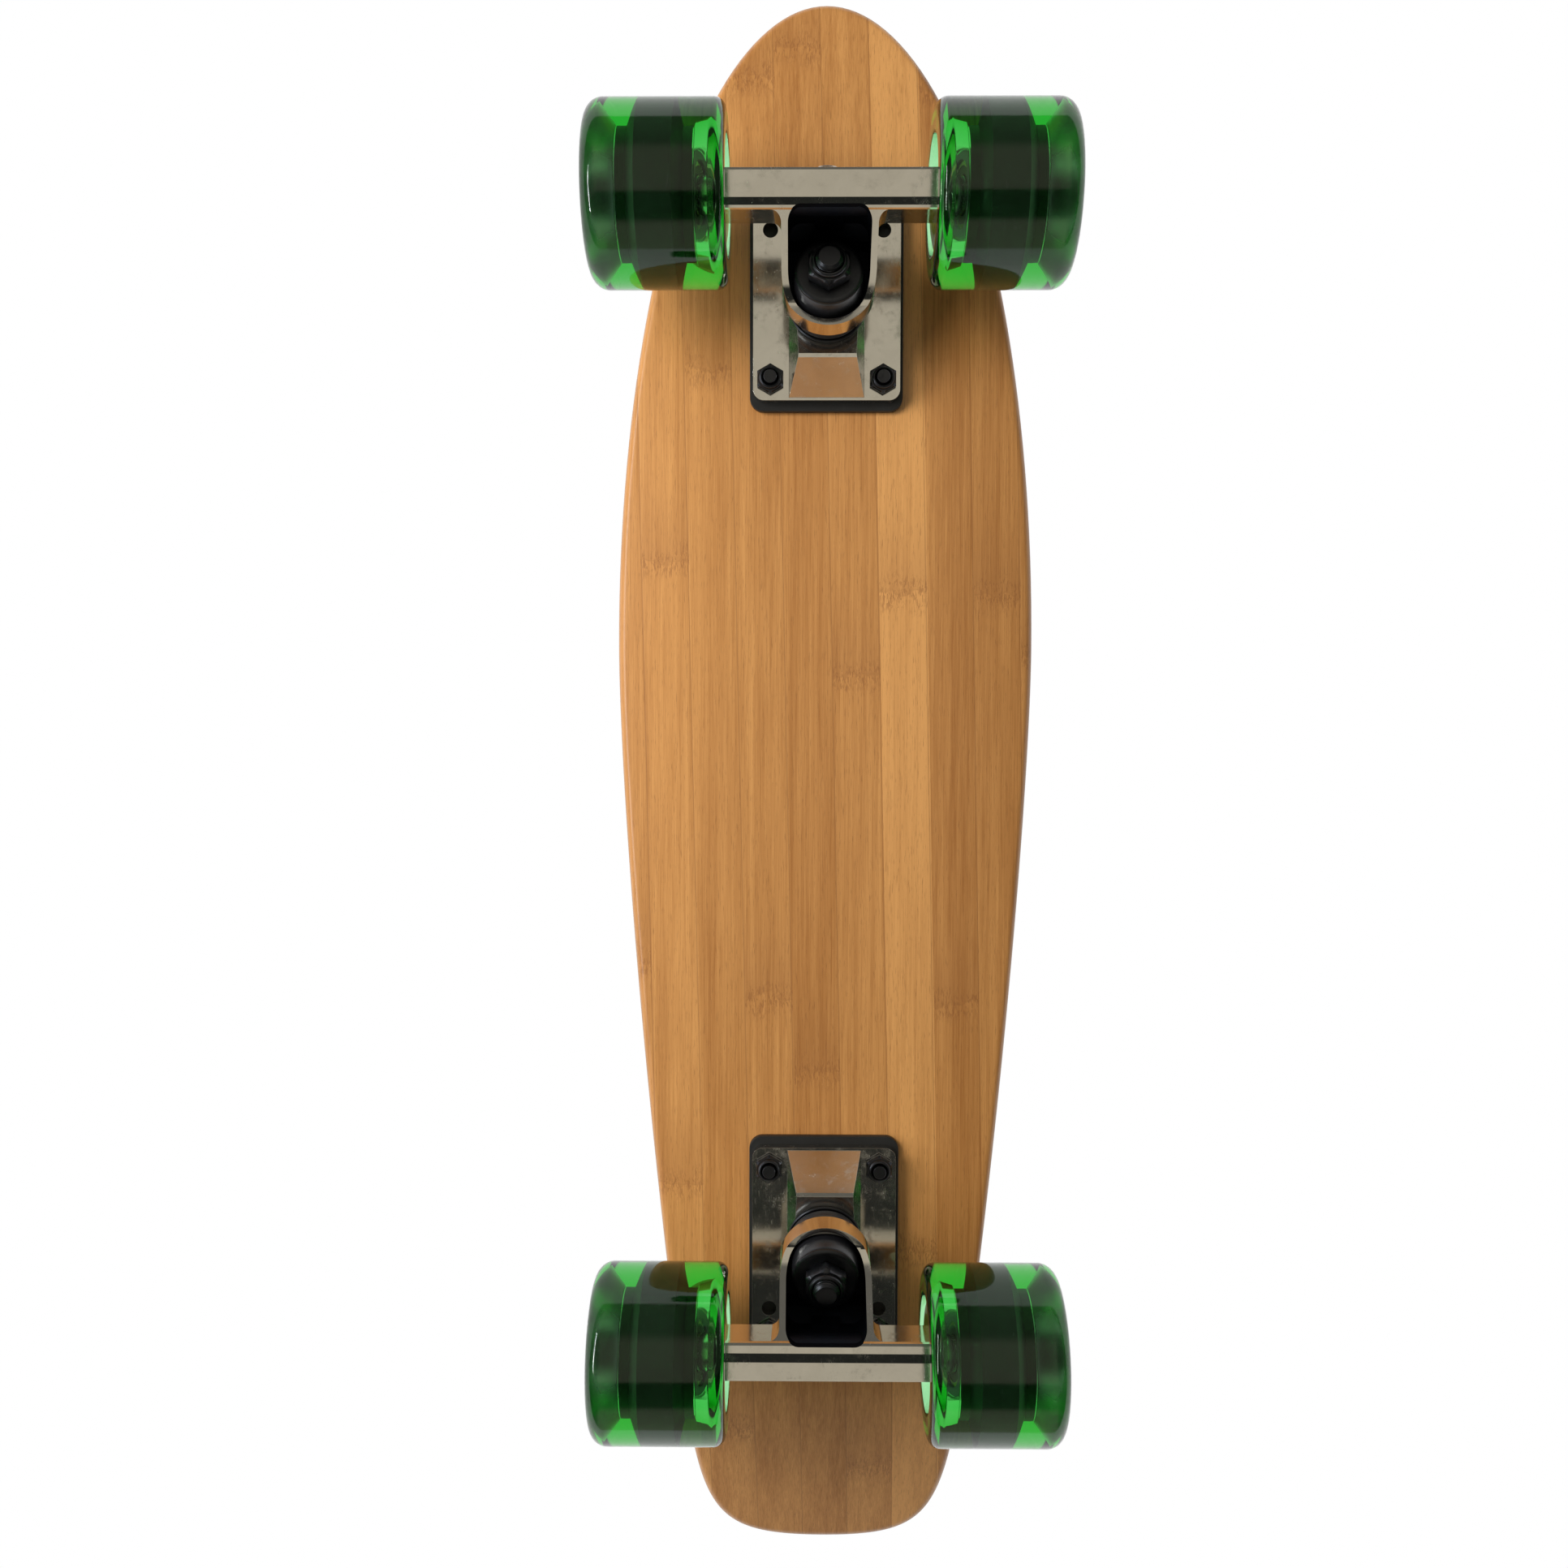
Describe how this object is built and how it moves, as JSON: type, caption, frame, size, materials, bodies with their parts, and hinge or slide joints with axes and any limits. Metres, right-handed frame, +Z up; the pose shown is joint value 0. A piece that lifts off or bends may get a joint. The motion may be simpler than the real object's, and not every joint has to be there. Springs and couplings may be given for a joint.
{
  "type": "skateboard",
  "caption": "Mini cruiser skateboard: laminated wood deck with a kicked tail, two sprung steering trucks on riser pads and clear cast wheels on ball bearings.",
  "frame": {"origin": "on the ground, under the middle of the board's length and width, with the board standing on its wheels", "axes": "+Z up, the nose points to -Y and the tail to +Y, X runs across the board along the axles"},
  "size_m": [0.16, 0.598, 0.1215],
  "materials": {
    "bamboo": "clear satin lacquer over lengthwise strips",
    "grip_tape": "black silicon carbide grit",
    "riser_rubber": "matt moulded",
    "polished_alloy": "die cast and polished, lightly scuffed",
    "black_hardware": "black oxide",
    "bushing_urethane": "smooth cast urethane",
    "bearing_steel": "ground bearing steel",
    "shield_black": "moulded seal",
    "wheel_urethane": "clear green cast urethane, glossy",
    "core_plastic": "moulded nylon"
  },
  "bodies": {
    "deck": {"deck": "bamboo", "grip_tape": "grip_tape", "riser_pad_front": "riser_rubber", "baseplate_front": "polished_alloy", "mounting_bolts_front": "black_hardware", "mounting_nuts_front": "black_hardware", "pivot_cup_front": "bushing_urethane", "kingpin_front": "black_hardware", "seat_washer_front": "black_hardware", "board_bushing_front": "bushing_urethane", "road_bushing_front": "bushing_urethane", "cup_washer_front": "black_hardware", "kingpin_nut_front": "black_hardware", "riser_pad_rear": "riser_rubber", "baseplate_rear": "polished_alloy", "mounting_bolts_rear": "black_hardware", "mounting_nuts_rear": "black_hardware", "pivot_cup_rear": "bushing_urethane", "kingpin_rear": "black_hardware", "seat_washer_rear": "black_hardware", "board_bushing_rear": "bushing_urethane", "road_bushing_rear": "bushing_urethane", "cup_washer_rear": "black_hardware", "kingpin_nut_rear": "black_hardware"},
    "hanger_front": {"hanger_front": "polished_alloy", "axle_front": "bearing_steel", "speed_washers_front": "bearing_steel", "bearing_spacers_front": "bearing_steel", "bearing_inner_rings_front": "bearing_steel", "axle_nuts_front": "black_hardware"},
    "wheel_front_left": {"tyre_front_left": "wheel_urethane", "core_front_left": "core_plastic", "bearing_outer_rings_front_left": "bearing_steel", "bearing_shields_front_left": "shield_black"},
    "ball_cage_front_left": {"bearing_balls_front_left": "bearing_steel"},
    "wheel_front_right": {"tyre_front_right": "wheel_urethane", "core_front_right": "core_plastic", "bearing_outer_rings_front_right": "bearing_steel", "bearing_shields_front_right": "shield_black"},
    "ball_cage_front_right": {"bearing_balls_front_right": "bearing_steel"},
    "hanger_rear": {"hanger_rear": "polished_alloy", "axle_rear": "bearing_steel", "speed_washers_rear": "bearing_steel", "bearing_spacers_rear": "bearing_steel", "bearing_inner_rings_rear": "bearing_steel", "axle_nuts_rear": "black_hardware"},
    "wheel_rear_left": {"tyre_rear_left": "wheel_urethane", "core_rear_left": "core_plastic", "bearing_outer_rings_rear_left": "bearing_steel", "bearing_shields_rear_left": "shield_black"},
    "ball_cage_rear_left": {"bearing_balls_rear_left": "bearing_steel"},
    "wheel_rear_right": {"tyre_rear_right": "wheel_urethane", "core_rear_right": "core_plastic", "bearing_outer_rings_rear_right": "bearing_steel", "bearing_shields_rear_right": "shield_black"},
    "ball_cage_rear_right": {"bearing_balls_rear_right": "bearing_steel"}
  },
  "joints": [
    {"name": "lean_front", "type": "hinge", "parent": "deck", "child": "hanger_front", "pos_m": [0, -0.2141, 0.072], "axis": [0, 0.8611, -0.5084], "range_deg": [-10, 10], "stiffness_Nm_per_rad": 60, "deforming": ["board_bushing_front", "road_bushing_front"]},
    {"name": "spin_front_left", "type": "hinge", "parent": "hanger_front", "child": "wheel_front_left", "pos_m": [0.057, -0.2058, 0.03], "axis": [1, 0, 0], "continuous": true},
    {"name": "balls_front_left", "type": "hinge", "parent": "hanger_front", "child": "ball_cage_front_left", "pos_m": [0.057, -0.2058, 0.03], "axis": [1, 0, 0], "continuous": true},
    {"name": "spin_front_right", "type": "hinge", "parent": "hanger_front", "child": "wheel_front_right", "pos_m": [-0.057, -0.2058, 0.03], "axis": [1, 0, 0], "continuous": true},
    {"name": "balls_front_right", "type": "hinge", "parent": "hanger_front", "child": "ball_cage_front_right", "pos_m": [-0.057, -0.2058, 0.03], "axis": [1, 0, 0], "continuous": true},
    {"name": "lean_rear", "type": "hinge", "parent": "deck", "child": "hanger_rear", "pos_m": [0, 0.1951, 0.072], "axis": [0, -0.8611, -0.5084], "range_deg": [-10, 10], "stiffness_Nm_per_rad": 60, "deforming": ["board_bushing_rear", "road_bushing_rear"]},
    {"name": "spin_rear_left", "type": "hinge", "parent": "hanger_rear", "child": "wheel_rear_left", "pos_m": [0.057, 0.1868, 0.03], "axis": [1, 0, 0], "continuous": true},
    {"name": "balls_rear_left", "type": "hinge", "parent": "hanger_rear", "child": "ball_cage_rear_left", "pos_m": [0.057, 0.1868, 0.03], "axis": [1, 0, 0], "continuous": true},
    {"name": "spin_rear_right", "type": "hinge", "parent": "hanger_rear", "child": "wheel_rear_right", "pos_m": [-0.057, 0.1868, 0.03], "axis": [1, 0, 0], "continuous": true},
    {"name": "balls_rear_right", "type": "hinge", "parent": "hanger_rear", "child": "ball_cage_rear_right", "pos_m": [-0.057, 0.1868, 0.03], "axis": [1, 0, 0], "continuous": true}
  ],
  "couplings": [
    {"joint": "balls_front_left", "follows": "spin_front_left", "ratio": 0.6218},
    {"joint": "balls_front_right", "follows": "spin_front_right", "ratio": 0.6218},
    {"joint": "balls_rear_left", "follows": "spin_rear_left", "ratio": 0.6218},
    {"joint": "balls_rear_right", "follows": "spin_rear_right", "ratio": 0.6218}
  ]
}
